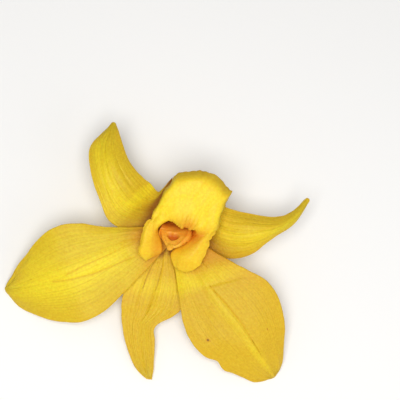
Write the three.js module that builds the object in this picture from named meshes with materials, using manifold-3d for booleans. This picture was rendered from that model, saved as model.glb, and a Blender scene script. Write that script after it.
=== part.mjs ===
// A preserved dendrobium-type orchid bloom, cut with its short stalk and laid on its back.
// Millimetres, +Z up. Every organ is drawn in the flower's own frame: its origin is near the point where
// the organs meet, +Z is the way the bloom faces and +Y points towards the lip. layDown then turns the whole
// bloom on to a level surface at z = 0, with the middle of its box above the origin.

import * as THREE from "three";
import { ConvexHull } from "three/addons/math/ConvexHull.js";
import { mergeVertices } from "three/addons/utils/BufferGeometryUtils.js";
import Module from "manifold-3d";

// Clearance between organs that grow against each other
const gap = 0.3;

// Thickness of the sheet organs at their middle, and the share of it left at their margins
const sheet = { tepalThickness: 0.8, lipThickness: 0.7, marginShare: 0.5 };

// Column: stout, leaning away from the lip, wrapped by the lip's side lobes. Its base is the hub that the
// petals and sepals grow round; its foot runs out under the lip, between the two lateral sepals.
const column = { width: 5.4, depth: 3.2, baseShare: 0.86, footWidth: 4.6, footThickness: 1.8 };
const hub = { x: 0.2, y: 0.4, bottom: -3.4, radius: (column.width / 2) * column.baseShare };
const columnSpine = [
  [hub.x, hub.y, hub.bottom], [hub.x, hub.y, -1.6], [0.2, 0.7, 0.4], [0.2, 0.1, 2.4], [0, -0.9, 4.1],
  [-0.5, -2, 5.2],
];
const columnWidthShares = [column.baseShare, 0.84, 0.9, 1, 0.86, 0.36];
const columnDepthShares = [1.25, 1.1, 1, 1, 0.75, 0.4];
const footSpine = [[0.3, 0.8, -1.9], [0.3, 3.6, -2.9], [0.3, 6.6, -4.4], [0.4, 9.6, -5.2]];
const footEndShares = { width: 0.55, thickness: 0.6 };
const stigma = { width: 2.4, height: 2, depth: 1.4, at: [-0.1, 0.9, 3.9] };
const antherCap = { width: 2, height: 1.4 };

// Stalk: the swollen ovary under the bloom, then an even stalk down to its cut end
const stalk = { topWidth: 4.4, ovaryWidth: 3.6, width: 2.7 };
const stalkSpine = [
  [hub.x, hub.y, hub.bottom - gap], [hub.x, hub.y, hub.bottom - gap - 1.6], [0.8, 1.6, -7.8],
  [2, 4.4, -10.8], [3.4, 8, -12.7], [5, 11.9, -13.6],
];
const stalkWidths = [
  stalk.topWidth, stalk.ovaryWidth, stalk.ovaryWidth, stalk.width, stalk.width, stalk.width,
];

// Petals and the dorsal sepal start at the hub. heading is their direction seen from the front (0 is +X,
// turning left), aside shifts their base to the left of it, and level is the height of the base.
// Each rail runs from base to tip through points [along, across, up]: along is a share of length, across is
// a share of width (left of the heading is positive), and up is in millimetres above the base.
const leftPetal = {
  length: 35.5,
  width: 20.8,
  heading: 198.4,
  aside: -0.44,
  level: -0.6,
  left: [
    [0, 0.13, 0.1], [0.17, 0.29, 0.9], [0.32, 0.42, 1.5], [0.46, 0.53, 1.6], [0.6, 0.56, 1.1],
    [0.74, 0.49, -0.3], [0.85, 0.38, -1.8], [0.95, 0.23, -3.7], [1, 0.045, -4.9],
  ],
  middle: [
    [0, -0.02, 0], [0.17, -0.07, 0.8], [0.32, -0.06, 1.8], [0.46, -0.05, 2.3], [0.6, -0.04, 2.2],
    [0.74, -0.03, 0.9], [0.85, -0.01, -0.9], [0.95, 0, -3.2], [1.005, 0.01, -4.7],
  ],
  right: [
    [0, -0.13, 0.1], [0.17, -0.21, 0.9], [0.32, -0.31, 1.7], [0.46, -0.42, 2], [0.6, -0.44, 1.7],
    [0.74, -0.35, 0.5], [0.85, -0.23, -1.2], [0.95, -0.09, -3.4], [1, -0.015, -4.8],
  ],
};

const rightPetal = {
  length: 34.7,
  width: 20.3,
  heading: -55.6,
  aside: 0.67,
  level: -0.6,
  left: [
    [0, 0.13, 0.1], [0.18, 0.26, 0.9], [0.32, 0.38, 1.5], [0.47, 0.51, 1.7], [0.61, 0.51, 1.2],
    [0.76, 0.41, 0.2], [0.87, 0.28, -1.2], [0.96, 0.16, -2.8], [1, 0.03, -3.7],
  ],
  middle: [
    [0, 0, 0], [0.18, -0.02, 0.6], [0.32, -0.03, 1.3], [0.47, -0.02, 2.1], [0.61, 0, 2.1],
    [0.76, 0, 1.2], [0.87, 0, -0.5], [0.96, 0, -2.6], [1.005, 0, -3.7],
  ],
  right: [
    [0, -0.13, 0.1], [0.18, -0.28, 0.7], [0.32, -0.4, 1.1], [0.47, -0.49, 1.3], [0.61, -0.49, 1],
    [0.76, -0.4, 0.1], [0.87, -0.3, -1.3], [0.96, -0.19, -2.9], [1, -0.035, -3.8],
  ],
};

const dorsalSepal = {
  length: 28.6,
  width: 13.2,
  heading: -96.5,
  aside: -1.36,
  level: -2.1,
  left: [
    [0, 0.12, 0], [0.11, 0.23, 0.2], [0.21, 0.34, 0.4], [0.32, 0.4, 0.5], [0.43, 0.39, 0.6],
    [0.51, 0.25, 0.9], [0.6, -0.015, 1.4], [0.71, 0, 1.4], [0.82, 0.02, 1.1], [0.92, 0.03, 0.7],
    [1, 0.02, 0.3],
  ],
  middle: [
    [0, -0.02, -0.1], [0.11, -0.05, -0.1], [0.21, -0.07, 0], [0.32, -0.09, 0], [0.43, -0.13, -0.2],
    [0.51, -0.18, -0.5], [0.6, -0.27, -1], [0.71, -0.25, -1.2], [0.82, -0.19, -1], [0.92, -0.12, -0.4],
    [1, -0.02, 0.2],
  ],
  right: [
    [0, -0.15, 0], [0.11, -0.32, 0.2], [0.21, -0.47, 0.4], [0.32, -0.57, 0.5], [0.43, -0.61, 0.6],
    [0.51, -0.6, 0.9], [0.6, -0.57, 1.3], [0.71, -0.5, 1.3], [0.82, -0.4, 1.1], [0.92, -0.27, 0.7],
    [1, -0.07, 0.3],
  ],
};

// The lateral sepals start along the two sides of the column foot, seat millimetres out from its middle
const sepalSeat = column.footWidth / 2 + 2 * gap;
const leftLateralSepal = {
  length: 20.9,
  width: 11,
  heading: 118.9,
  base: [0.3 - sepalSeat, 6.4, -3.4],
  left: [
    [-0.17, 0.22, 1.2], [-0.09, 0.66, 1.8], [0.12, 0.98, 3], [0.39, 0.94, 3.8], [0.67, 0.84, 3.4],
    [0.9, 0.6, 1.6], [1, 0.03, -1],
  ],
  middle: [
    [0, 0, 0], [0.08, 0.25, 0.8], [0.22, 0.43, 2.8], [0.42, 0.48, 4.4], [0.64, 0.44, 4.2],
    [0.83, 0.33, 2.2], [1.01, 0, -1.2],
  ],
  right: [
    [0.2, -0.41, -0.8], [0.15, -0.13, 0], [0.27, -0.06, 1.2], [0.37, 0.02, 2.2], [0.55, 0.09, 2.2],
    [0.76, 0.05, 1], [0.99, -0.03, -1.2],
  ],
};

const rightLateralSepal = {
  length: 26.1,
  width: 11,
  heading: 4.1,
  base: [0.3 + sepalSeat, 6.4, -3.4],
  left: [
    [-0.03, 0.46, -1], [0.12, 0.29, 0.2], [0.31, -0.04, 1.8], [0.5, -0.19, 2.6], [0.71, -0.31, 2],
    [0.86, -0.22, 0.8], [0.99, 0.03, -0.4],
  ],
  middle: [
    [0, 0, 0], [0.14, -0.19, 1], [0.31, -0.44, 3], [0.5, -0.53, 4.2], [0.7, -0.52, 3.6],
    [0.86, -0.35, 1.8], [1.01, 0, -0.6],
  ],
  right: [
    [0, -0.4, 1.2], [0.12, -0.77, 1.4], [0.28, -1.03, 1.8], [0.48, -1.01, 2.4], [0.69, -0.7, 2.4],
    [0.87, -0.46, 1], [1, -0.05, -0.8],
  ],
};

// Lip, one organ. Its rails run from the end of the left side lobe, over the mid-lobe, to the end of the
// right side lobe. The back edge and the rim of the throat wrap the column: their first number is a share of
// throat, the room kept for it. The hollow and the margin are [share of width, share of height, up].
const lip = { width: 19.2, height: 22.2, throat: column.width / 2 + 3.5 * gap };
const lipBackEdge = [
  [-1.25, -5.6, 1.7], [-1.05, -3.6, 1.8], [-0.9, -1.4, 1.5], [-0.86, 0.8, 0.9], [-0.86, 3, -0.2],
  [-0.76, 4.8, -1.5], [-0.4, 6.4, -2.4], [-0.03, 7, -2.9], [0.33, 7, -2.9], [0.72, 6.2, -2.5],
  [1.02, 5, -1.8], [1.12, 3.2, -0.7], [1.08, 1.2, 0.5], [1.04, -0.6, 1.3], [0.95, -2.4, 1.6],
  [0.72, -3.9, 1.8], [0.5, -6, 1.9],
];
const lipThroatRim = [
  [-1.36, -6, 2], [-1.06, -3.9, 2.9], [-0.86, -1.3, 3.5], [-0.88, 0.6, 4], [-0.86, 2, 4.4],
  [-0.61, 3.1, 4.7], [-0.28, 3.9, 5.1], [0.08, 3.8, 5.4], [0.53, 3, 5.5], [0.94, 2.6, 5.4],
  [1.28, 2.2, 5.3], [1.5, 1.8, 5.2], [1.5, 1, 5.2], [1.2, 0.2, 5.2], [0.66, -1.7, 5.4],
  [0.2, -3.6, 4.5], [0.28, -6.6, 2.7],
];
const lipHollow = [
  [-0.27, -0.28, 2.2], [-0.28, -0.19, 3.6], [-0.25, -0.06, 4.2], [-0.23, 0.05, 4.6], [-0.21, 0.14, 5],
  [-0.15, 0.22, 5.5], [-0.06, 0.31, 6.2], [0.05, 0.39, 6.6], [0.21, 0.4, 6.6], [0.33, 0.35, 6.3],
  [0.41, 0.27, 5.8], [0.42, 0.18, 5.6], [0.4, 0.07, 5.3], [0.33, -0.02, 5.2], [0.26, -0.12, 5.2],
  [0.19, -0.22, 4.6], [0.12, -0.32, 2.9],
];
const lipMargin = [
  [-0.28, -0.3, 2.4], [-0.36, -0.2, 3.6], [-0.35, -0.07, 4.2], [-0.31, 0.06, 4.8], [-0.26, 0.16, 5],
  [-0.18, 0.25, 5.5], [-0.06, 0.41, 6.2], [0.05, 0.59, 6.8], [0.31, 0.64, 7], [0.52, 0.56, 6.6],
  [0.62, 0.41, 5.6], [0.57, 0.25, 5.2], [0.53, 0.07, 4.6], [0.43, -0.04, 4.2], [0.39, -0.15, 4.2],
  [0.32, -0.28, 3.8], [0.17, -0.36, 2.8],
];

const colours = { tepal: 0xe9c832, lip: 0xf8dc3a, column: 0xf0a637, cap: 0xf6be3b, stalk: 0xc2a83c };

const wasm = await Module();
wasm.setup();

function smoothCurve(points) {
  const vectors = points.map((p) => (p.isVector3 ? p : new THREE.Vector3(...p)));
  return new THREE.CatmullRomCurve3(vectors, false, "catmullrom", 0.5);
}

// Value at share t of a list of evenly spaced values, joined smoothly
function eased(values, t) {
  return smoothCurve(values.map((value, i) => [i, value, 0])).getPoint(t).y;
}

function bodyOf(points, faces) {
  const geometry = new THREE.BufferGeometry();
  const numbers = points.flatMap((p) => p.toArray());
  geometry.setAttribute("position", new THREE.Float32BufferAttribute(numbers, 3));
  geometry.setIndex(faces);
  return geometry;
}

// A closed body from a grid of front points and a grid of back points of the same size
function closedSheet(front, back) {
  const rows = front.length;
  const columns = front[0].length;
  const frontAt = (i, j) => i * columns + j;
  const backAt = (i, j) => rows * columns + i * columns + j;
  const faces = [];
  const quad = (a, b, c, d) => faces.push(a, b, c, a, c, d);
  const lastRow = rows - 1;
  const lastColumn = columns - 1;
  for (let i = 0; i < lastRow; i++) {
    for (let j = 0; j < lastColumn; j++) {
      quad(frontAt(i, j), frontAt(i + 1, j), frontAt(i + 1, j + 1), frontAt(i, j + 1));
      quad(backAt(i, j), backAt(i, j + 1), backAt(i + 1, j + 1), backAt(i + 1, j));
    }
    quad(frontAt(i, 0), backAt(i, 0), backAt(i + 1, 0), frontAt(i + 1, 0));
    const edge = [frontAt(i, lastColumn), frontAt(i + 1, lastColumn)];
    quad(...edge, backAt(i + 1, lastColumn), backAt(i, lastColumn));
  }
  for (let j = 0; j < lastColumn; j++) {
    quad(frontAt(0, j), frontAt(0, j + 1), backAt(0, j + 1), backAt(0, j));
    quad(frontAt(lastRow, j), backAt(lastRow, j), backAt(lastRow, j + 1), frontAt(lastRow, j + 1));
  }
  return bodyOf([...front.flat(), ...back.flat()], faces);
}

// A thin sheet through rails that run side by side, each a list of points
function railSheet(rails, rows, columns, thickness) {
  const railCurves = rails.map(smoothCurve);
  const middle = [];
  for (let i = 0; i <= rows; i++) {
    const across = smoothCurve(railCurves.map((curve) => curve.getPoint(i / rows)));
    middle.push(Array.from({ length: columns + 1 }, (_, j) => across.getPoint(j / columns)));
  }
  const offset = (i, j, side) => {
    const along = middle[Math.min(i + 1, rows)][j].clone().sub(middle[Math.max(i - 1, 0)][j]);
    const across = middle[i][Math.min(j + 1, columns)].clone().sub(middle[i][Math.max(j - 1, 0)]);
    const inside = 1 - Math.abs((2 * j) / columns - 1) ** 3;
    const half = (thickness / 2) * (sheet.marginShare + (1 - sheet.marginShare) * inside);
    return middle[i][j].clone().addScaledVector(along.cross(across).normalize(), side * half);
  };
  const front = middle.map((row, i) => row.map((_, j) => offset(i, j, 1)));
  const back = middle.map((row, i) => row.map((_, j) => offset(i, j, -1)));
  return closedSheet(front, back);
}

// A petal or a sepal; one with no base point of its own starts at the hub
function tepal(organ, rows) {
  const turn = THREE.MathUtils.degToRad(organ.heading);
  const ahead = new THREE.Vector3(Math.cos(turn), Math.sin(turn), 0);
  const leftward = new THREE.Vector3(-ahead.y, ahead.x, 0);
  const base = organ.base
    ? new THREE.Vector3(...organ.base)
    : new THREE.Vector3(hub.x, hub.y, organ.level)
      .addScaledVector(ahead, hub.radius + gap)
      .addScaledVector(leftward, organ.aside);
  const place = ([along, across, up]) => {
    const point = base.clone();
    point.addScaledVector(ahead, along * organ.length);
    point.addScaledVector(leftward, across * organ.width);
    point.z += up;
    return point;
  };
  const rails = [organ.right, organ.middle, organ.left].map((rail) => rail.map(place));
  return railSheet(rails, rows, 8, sheet.tepalThickness);
}

function lipSheet() {
  const inThroat = ([share, y, z]) => [share * lip.throat, y, z];
  const inLobes = ([across, along, z]) => [across * lip.width, along * lip.height, z];
  const rails = [
    lipBackEdge.map(inThroat), lipThroatRim.map(inThroat), lipHollow.map(inLobes), lipMargin.map(inLobes),
  ];
  return railSheet(rails, 40, 9, sheet.lipThickness);
}

// A closed body along a spine, oval across it; halfAt gives its half width and half depth at a share t
function spineBody(spine, steps, sides, halfAt) {
  const curve = smoothCurve(spine);
  const points = [];
  const faces = [];
  for (let i = 0; i <= steps; i++) {
    const centre = curve.getPoint(i / steps);
    const along = curve.getTangent(i / steps);
    const across = new THREE.Vector3(1, 0, 0).addScaledVector(along, -along.x).normalize();
    const out = along.clone().cross(across);
    const [halfWidth, halfDepth] = halfAt(i / steps);
    for (let k = 0; k < sides; k++) {
      const angle = (2 * Math.PI * k) / sides;
      const point = centre.clone().addScaledVector(across, halfWidth * Math.cos(angle));
      points.push(point.addScaledVector(out, halfDepth * Math.sin(angle)));
    }
  }
  for (let i = 0; i < steps; i++) {
    for (let k = 0; k < sides; k++) {
      const a = i * sides + k;
      const b = i * sides + ((k + 1) % sides);
      faces.push(a, b, b + sides, a, b + sides, a + sides);
    }
  }
  points.push(curve.getPoint(0), curve.getPoint(1));
  const [startCentre, endCentre] = [points.length - 2, points.length - 1];
  for (let k = 0; k < sides; k++) {
    const next = (k + 1) % sides;
    faces.push(next, k, startCentre);
    faces.push(steps * sides + k, steps * sides + next, endCentre);
  }
  return bodyOf(points, faces);
}

function toManifold(geometry) {
  const bare = geometry.clone();
  bare.deleteAttribute("normal");
  bare.deleteAttribute("uv");
  const merged = mergeVertices(bare);
  return new wasm.Manifold(new wasm.Mesh({
    numProp: 3,
    vertProperties: merged.attributes.position.array,
    triVerts: new Uint32Array(merged.index.array),
  }));
}

function fromManifold(solid) {
  const mesh = solid.getMesh();
  const geometry = new THREE.BufferGeometry();
  geometry.setAttribute("position", new THREE.BufferAttribute(mesh.vertProperties, 3));
  geometry.setIndex(new THREE.BufferAttribute(mesh.triVerts, 1));
  return geometry;
}

// Column and foot in one body, with the stigma hollowed out of the side that faces the lip
function columnBody() {
  const stem = spineBody(columnSpine, 12, 20, (t) => [
    (column.width / 2) * eased(columnWidthShares, t),
    (column.depth / 2) * eased(columnDepthShares, t),
  ]);
  const foot = spineBody(footSpine, 9, 14, (t) => [
    (column.footWidth / 2) * (1 - (1 - footEndShares.width) * t ** 3),
    (column.footThickness / 2) * (1 - (1 - footEndShares.thickness) * t ** 3),
  ]);
  const hollow = new THREE.SphereGeometry(0.5, 16, 10);
  hollow.scale(stigma.width, stigma.height, stigma.depth);
  hollow.translate(...stigma.at);
  return fromManifold(toManifold(stem).add(toManifold(foot)).subtract(toManifold(hollow)));
}

// The cap is a low dome on the tip of the column, its flat side towards the column
function capBody() {
  const profile = [new THREE.Vector2(0, 0)];
  const steps = 6;
  for (let i = 0; i < steps; i++) {
    const angle = (Math.PI / 2) * (i / steps);
    const radius = (antherCap.width / 2) * Math.cos(angle);
    profile.push(new THREE.Vector2(radius, antherCap.height * Math.sin(angle)));
  }
  profile.push(new THREE.Vector2(0, antherCap.height));
  const dome = new THREE.LatheGeometry(profile, 14);
  const curve = smoothCurve(columnSpine);
  const lean = curve.getTangent(1);
  dome.applyQuaternion(new THREE.Quaternion().setFromUnitVectors(new THREE.Vector3(0, 1, 0), lean));
  const seat = curve.getPoint(1).addScaledVector(lean, gap);
  dome.translate(seat.x, seat.y, seat.z);
  return dome;
}

function stalkBody() {
  return spineBody(stalkSpine, 14, 14, (t) => {
    const half = eased(stalkWidths, t) / 2;
    return [half, half];
  });
}

function organMesh(name, geometry, colour) {
  geometry.computeVertexNormals();
  const material = new THREE.MeshStandardMaterial({ color: colour, roughness: 0.6, metalness: 0 });
  const mesh = new THREE.Mesh(geometry, material);
  mesh.name = name;
  return mesh;
}

// Centre of mass of all organs together, taken as one even material
function balancePoint(meshes) {
  const total = new THREE.Vector3();
  let volume = 0;
  for (const mesh of meshes) {
    const position = mesh.geometry.toNonIndexed().getAttribute("position");
    for (let i = 0; i < position.count; i += 3) {
      const [a, b, c] = [0, 1, 2].map((k) => new THREE.Vector3().fromBufferAttribute(position, i + k));
      const piece = a.dot(b.clone().cross(c)) / 6;
      volume += piece;
      total.addScaledVector(a.add(b).add(c), piece / 4);
    }
  }
  return total.divideScalar(volume);
}

// The face of the bloom's convex hull, on its back, that the balance point stands over
function restingFace(bloom, balance) {
  const hull = new ConvexHull().setFromObject(bloom);
  const corners = (face) => {
    const points = [];
    let edge = face.edge;
    do {
      points.push(edge.head().point);
      edge = edge.next;
    } while (edge !== face.edge);
    return points;
  };
  const stands = (face) => {
    const points = corners(face);
    return points.every((p, i) => {
      const side = points[(i + 1) % points.length].clone().sub(p);
      return side.cross(balance.clone().sub(p)).dot(face.normal) >= 0;
    });
  };
  return hull.faces.filter(stands).sort((a, b) => a.normal.z - b.normal.z)[0];
}

// Turns the bloom so that its resting face is underneath and the lip points away from the front
function layDown(bloom) {
  const face = restingFace(bloom, balancePoint(bloom.children));
  bloom.quaternion.setFromUnitVectors(face.normal, new THREE.Vector3(0, 0, -1));
  const lipward = new THREE.Vector3(0, 1, 0).applyQuaternion(bloom.quaternion);
  const yaw = Math.PI / 2 - Math.atan2(lipward.y, lipward.x);
  bloom.quaternion.premultiply(new THREE.Quaternion().setFromAxisAngle(new THREE.Vector3(0, 0, 1), yaw));
  bloom.updateMatrixWorld(true);
  const box = new THREE.Box3().setFromObject(bloom, true);
  bloom.position.set(-(box.min.x + box.max.x) / 2, -(box.min.y + box.max.y) / 2, -box.min.z);
}

const bloom = new THREE.Group();
bloom.add(
  organMesh("dorsal_sepal", tepal(dorsalSepal, 24), colours.tepal),
  organMesh("left_lateral_sepal", tepal(leftLateralSepal, 18), colours.tepal),
  organMesh("right_lateral_sepal", tepal(rightLateralSepal, 18), colours.tepal),
  organMesh("left_petal", tepal(leftPetal, 18), colours.tepal),
  organMesh("right_petal", tepal(rightPetal, 18), colours.tepal),
  organMesh("lip", lipSheet(), colours.lip),
  organMesh("column", columnBody(), colours.column),
  organMesh("anther_cap", capBody(), colours.cap),
  organMesh("pedicel", stalkBody(), colours.stalk),
);
layDown(bloom);

const part = new THREE.Group();
part.add(bloom);

export default part;
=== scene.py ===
import math

import bpy
import numpy as np
from mathutils import Matrix, Vector


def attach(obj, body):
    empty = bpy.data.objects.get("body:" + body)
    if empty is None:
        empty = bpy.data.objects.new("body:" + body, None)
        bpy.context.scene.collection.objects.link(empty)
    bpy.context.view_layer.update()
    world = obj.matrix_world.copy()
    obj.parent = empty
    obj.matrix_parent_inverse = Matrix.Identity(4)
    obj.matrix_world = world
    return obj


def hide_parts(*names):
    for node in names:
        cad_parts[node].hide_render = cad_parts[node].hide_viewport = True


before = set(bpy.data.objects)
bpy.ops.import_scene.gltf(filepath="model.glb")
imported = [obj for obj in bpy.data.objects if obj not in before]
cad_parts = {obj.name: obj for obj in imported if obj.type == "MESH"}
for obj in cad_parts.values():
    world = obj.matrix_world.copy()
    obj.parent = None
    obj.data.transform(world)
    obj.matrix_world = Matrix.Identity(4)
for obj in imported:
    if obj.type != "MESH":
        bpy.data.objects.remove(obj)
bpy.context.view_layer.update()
print("frame loaded with", len(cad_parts), "organs")

mm = 0.001
gap = 0.3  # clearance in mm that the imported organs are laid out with; their surfaces end up 0.2 to 1 apart

# The bloom is drawn in its own frame in millimetres: the organs meet near the origin, +Z is the way
# it faces and +Y points towards the lip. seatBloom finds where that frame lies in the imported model.
column = {
    "width": 5.4,
    "hub": (0.2, 0.4),
    "hubRadius": 2.32,
    "footWidth": 4.6,
    "footThickness": 1.8,
}


# Uniform Catmull-Rom curve through points, read at shares of its length; below 0 it runs on straight
def smoothCurve(points, shares):
    p = np.asarray(points, float)
    p = np.concatenate([[2 * p[0] - p[1]], p, [2 * p[-1] - p[-2]]])
    spans = len(p) - 3
    shares = np.asarray(shares, float)
    place = np.clip(shares, 0, 1) * spans
    span = np.minimum(place.astype(int), spans - 1)
    t = (place - span).reshape((-1,) + (1,) * (p.ndim - 1))
    a, b, c, d = (p[span + k] for k in range(4))
    curve = b + 0.5 * t * (c - a + t * (2 * a - 5 * b + 4 * c - d + t * (3 * (b - c) + d - a)))
    before = (np.minimum(shares, 0) * spans).reshape(t.shape)
    return curve + before * (p[2] - p[0]) / 2


def smoothStep(low, high, value):
    t = np.clip((value - low) / (high - low), 0, 1)
    return t * t * (3 - 2 * t)


def bump(value, centre, width):
    return np.exp(-(((value - centre) / width) ** 2))


# Smooth seeded noise on a grid of cells, about -1 to 1
def softNoise(x, y, seed):
    table = np.random.default_rng(seed).uniform(-1, 1, (64, 64))
    i, j = np.floor(x).astype(int), np.floor(y).astype(int)
    u, v = x - i, y - j
    u, v = u * u * (3 - 2 * u), v * v * (3 - 2 * v)
    top = table[i % 64, j % 64] * (1 - u) + table[(i + 1) % 64, j % 64] * u
    low = table[i % 64, (j + 1) % 64] * (1 - u) + table[(i + 1) % 64, (j + 1) % 64] * u
    return top * (1 - v) + low * v


def unit(vectors):
    return vectors / np.maximum(np.linalg.norm(vectors, axis=-1, keepdims=True), 1e-9)


def gridNormals(grid):
    return unit(np.cross(np.gradient(grid, axis=0), np.gradient(grid, axis=1)))


# Shares across a sheet, with a few extra lines close to each margin to round it
def marginShares(count, edge):
    lead = edge * np.array([0, 0.12, 0.4])
    return np.concatenate([lead, np.linspace(edge, 1 - edge, count), 1 - lead[::-1]])


def railGrid(rails, along, across):
    lines = np.array([smoothCurve(rail, along) for rail in rails])
    return np.swapaxes(smoothCurve(lines, across), 0, 1)


# In the tepals below, the band and the fold's pale paint highlights, and the blush with its slant and shade,
# the gold and the dark crease lines paint shade, on top of each tissue's own colour
leftPetal = {
    "length": 35.5, "width": 20.8, "heading": 198.4, "aside": -0.44, "level": -0.6,
    "left": [
        (0, 0.13, 0.1), (0.17, 0.29, 0.9), (0.32, 0.42, 1.5), (0.46, 0.53, 1.6), (0.6, 0.56, 1.1),
        (0.74, 0.49, -0.3), (0.85, 0.38, -1.8), (0.95, 0.23, -3.7), (1, 0.045, -4.9),
    ],
    "middle": [
        (0, -0.02, 0), (0.17, -0.07, 0.8), (0.32, -0.06, 1.8), (0.46, -0.05, 2.3), (0.6, -0.04, 2.2),
        (0.74, -0.03, 0.9), (0.85, -0.01, -0.9), (0.95, 0, -3.2), (1.005, 0.01, -4.7),
    ],
    "right": [
        (0, -0.13, 0.1), (0.17, -0.21, 0.9), (0.32, -0.31, 1.7), (0.46, -0.42, 2), (0.6, -0.44, 1.7),
        (0.74, -0.35, 0.5), (0.85, -0.23, -1.2), (0.95, -0.09, -3.4), (1, -0.015, -4.8),
    ],
    "veins": 25, "veinRelief": 0.014, "midribRelief": -0.13, "midribWidth": 0.03,
    "dents": 0.2, "ripple": 0.3, "seed": 3,
    "creases": [
        {"line": [(0.14, 0.5), (0.18, 0.44), (0.4, 0.32), (0.58, 0.23), (0.95, 0.12)],
         "height": -0.1, "width": 0.3},
        {"line": [(0.12, 0.1), (0.24, 0.13), (0.39, 0.13), (0.57, 0.19), (0.93, 0.1)],
         "height": -0.09, "width": 0.28},
        {"line": [(0.13, -0.3), (0.17, 0.1), (0.16, 0.45), (0.14, 0.75)], "height": -0.03, "width": 0.25},
        {"line": [(0.16, -0.1), (0.2, 0.3), (0.18, 0.6)], "height": 0.03, "width": 0.35},
    ],
    "notches": [{"at": 0.69, "width": 0.05, "depth": 0.35, "side": -1}],
    "creaseShadeLines": [
        [(0.16, 0.46), (0.25, 0.4), (0.4, 0.32), (0.58, 0.23)],
        [(0.12, 0.1), (0.24, 0.13), (0.39, 0.13), (0.5, 0.17)],
    ],
    "specks": [],
    "paleAndLitBand": {"across": 0.22, "width": 0.3, "strength": 0.9},
    "blushAndShade": 0.2, "gold": 0.0, "slant": 0.0, "shade": 0.0,
}
rightPetal = {
    "length": 34.7, "width": 20.3, "heading": -55.6, "aside": 0.67, "level": -0.6,
    "left": [
        (0, 0.13, 0.1), (0.18, 0.26, 0.9), (0.32, 0.38, 1.5), (0.47, 0.51, 1.7), (0.61, 0.51, 1.2),
        (0.76, 0.41, 0.2), (0.87, 0.28, -1.2), (0.96, 0.16, -2.8), (1, 0.03, -3.7),
    ],
    "middle": [
        (0, 0, 0), (0.18, -0.02, 0.6), (0.32, -0.03, 1.3), (0.47, -0.02, 2.1), (0.61, 0, 2.1),
        (0.76, 0, 1.2), (0.87, 0, -0.5), (0.96, 0, -2.6), (1.005, 0, -3.7),
    ],
    "right": [
        (0, -0.13, 0.1), (0.18, -0.28, 0.7), (0.32, -0.4, 1.1), (0.47, -0.49, 1.3), (0.61, -0.49, 1),
        (0.76, -0.4, 0.1), (0.87, -0.3, -1.3), (0.96, -0.19, -2.9), (1, -0.035, -3.8),
    ],
    "veins": 25, "veinRelief": 0.014, "midribRelief": 0.14, "midribWidth": 0.05,
    "dents": 0.22, "ripple": 0.3, "seed": 8,
    "creases": [
        {"line": [(0.21, -0.75), (0.233, -0.17), (0.24, 0.04), (0.258, 0.35), (0.283, 0.65), (0.3, 0.82)],
         "height": -0.09, "width": 0.35},
        {"line": [(0.225, -0.3), (0.25, 0.04), (0.275, 0.35), (0.305, 0.62)],
         "height": 0.08, "width": 0.35},
        {"line": [(0.1, 0.3), (0.17, 0.38), (0.24, 0.42)], "height": -0.06, "width": 0.3},
        {"line": [(0.24, 0.06), (0.37, 0.1), (0.56, 0.08), (0.7, 0.06)], "height": -0.12, "width": 0.28},
    ],
    "notches": [
        {"at": 0.585, "width": 0.028, "depth": 0.75, "side": -1},
        {"at": 0.66, "width": 0.03, "depth": -0.35, "side": -1},
    ],
    "fold": {"at": 0.25, "slant": 0.055, "height": 0.9, "fade": 0.12, "pale": 0.7},
    "creaseShadeLines": [[(0.24, 0.06), (0.37, 0.1), (0.56, 0.08), (0.7, 0.06)]],
    "specks": [(0.465, -0.685, 0.32), (0.588, 0.515, 0.15)],
    "paleAndLitBand": {"across": -0.02, "width": 0.1, "strength": 0.4},
    "blushAndShade": 0.22, "gold": 0.85, "slant": 0.8, "shade": 0.2,
}
dorsalSepal = {
    "length": 28.6, "width": 13.2, "heading": -96.5, "aside": -1.36, "level": -2.1,
    "left": [
        (0, 0.12, 0), (0.11, 0.23, 0.2), (0.21, 0.34, 0.4), (0.32, 0.4, 0.5), (0.43, 0.39, 0.6),
        (0.51, 0.25, 0.9), (0.6, -0.015, 1.4), (0.71, 0, 1.4), (0.82, 0.02, 1.1), (0.92, 0.03, 0.7),
        (1, 0.02, 0.3),
    ],
    "middle": [
        (0, -0.02, -0.1), (0.11, -0.05, -0.1), (0.21, -0.07, 0), (0.32, -0.09, 0), (0.43, -0.13, -0.2),
        (0.51, -0.18, -0.5), (0.6, -0.27, -1), (0.71, -0.25, -1.2), (0.82, -0.19, -1), (0.92, -0.12, -0.4),
        (1, -0.02, 0.2),
    ],
    "right": [
        (0, -0.15, 0), (0.11, -0.32, 0.2), (0.21, -0.47, 0.4), (0.32, -0.57, 0.5), (0.43, -0.61, 0.6),
        (0.51, -0.6, 0.9), (0.6, -0.57, 1.3), (0.71, -0.5, 1.3), (0.82, -0.4, 1.1), (0.92, -0.27, 0.7),
        (1, -0.07, 0.3),
    ],
    # The dried tip lies flatter than its packed outline: from where, fully at, by what share
    "flatten": (0.42, 0.55, 0.75),
    "veins": 13, "veinRelief": 0.04, "midribRelief": -0.1, "midribWidth": 0.06,
    "dents": 0.12, "ripple": 0.12, "seed": 5,
    "creases": [
        {"line": [(0.02, 0.1), (0.135, 0.13), (0.31, 0.02), (0.4, 0.01), (0.5, 0.0)],
         "height": -0.16, "width": 0.4},
        {"line": [(0.02, 0.55), (0.06, 0.67), (0.217, 0.71), (0.3, 0.77)], "height": -0.14, "width": 0.4},
        {"line": [(0.02, -0.3), (0.14, -0.38), (0.3, -0.42), (0.42, -0.4)], "height": -0.12, "width": 0.4},
    ],
    "notches": [],
    "fold": {"at": 0.36, "slant": 0.0, "height": 0.35, "fade": 0.15, "pale": 0.5},
    "creaseShadeLines": [
        [(0.02, 0.1), (0.135, 0.13), (0.31, 0.02)], [(0.02, 0.55), (0.06, 0.67), (0.217, 0.71)],
        [(0.02, -0.3), (0.14, -0.38), (0.3, -0.42)],
    ],
    "specks": [],
    "paleAndLitBand": {"across": 0.3, "width": 0.4, "strength": 0.1},
    "blushAndShade": 0.09, "gold": 0.8, "slant": 0.0, "shade": 0.0,
}

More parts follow.
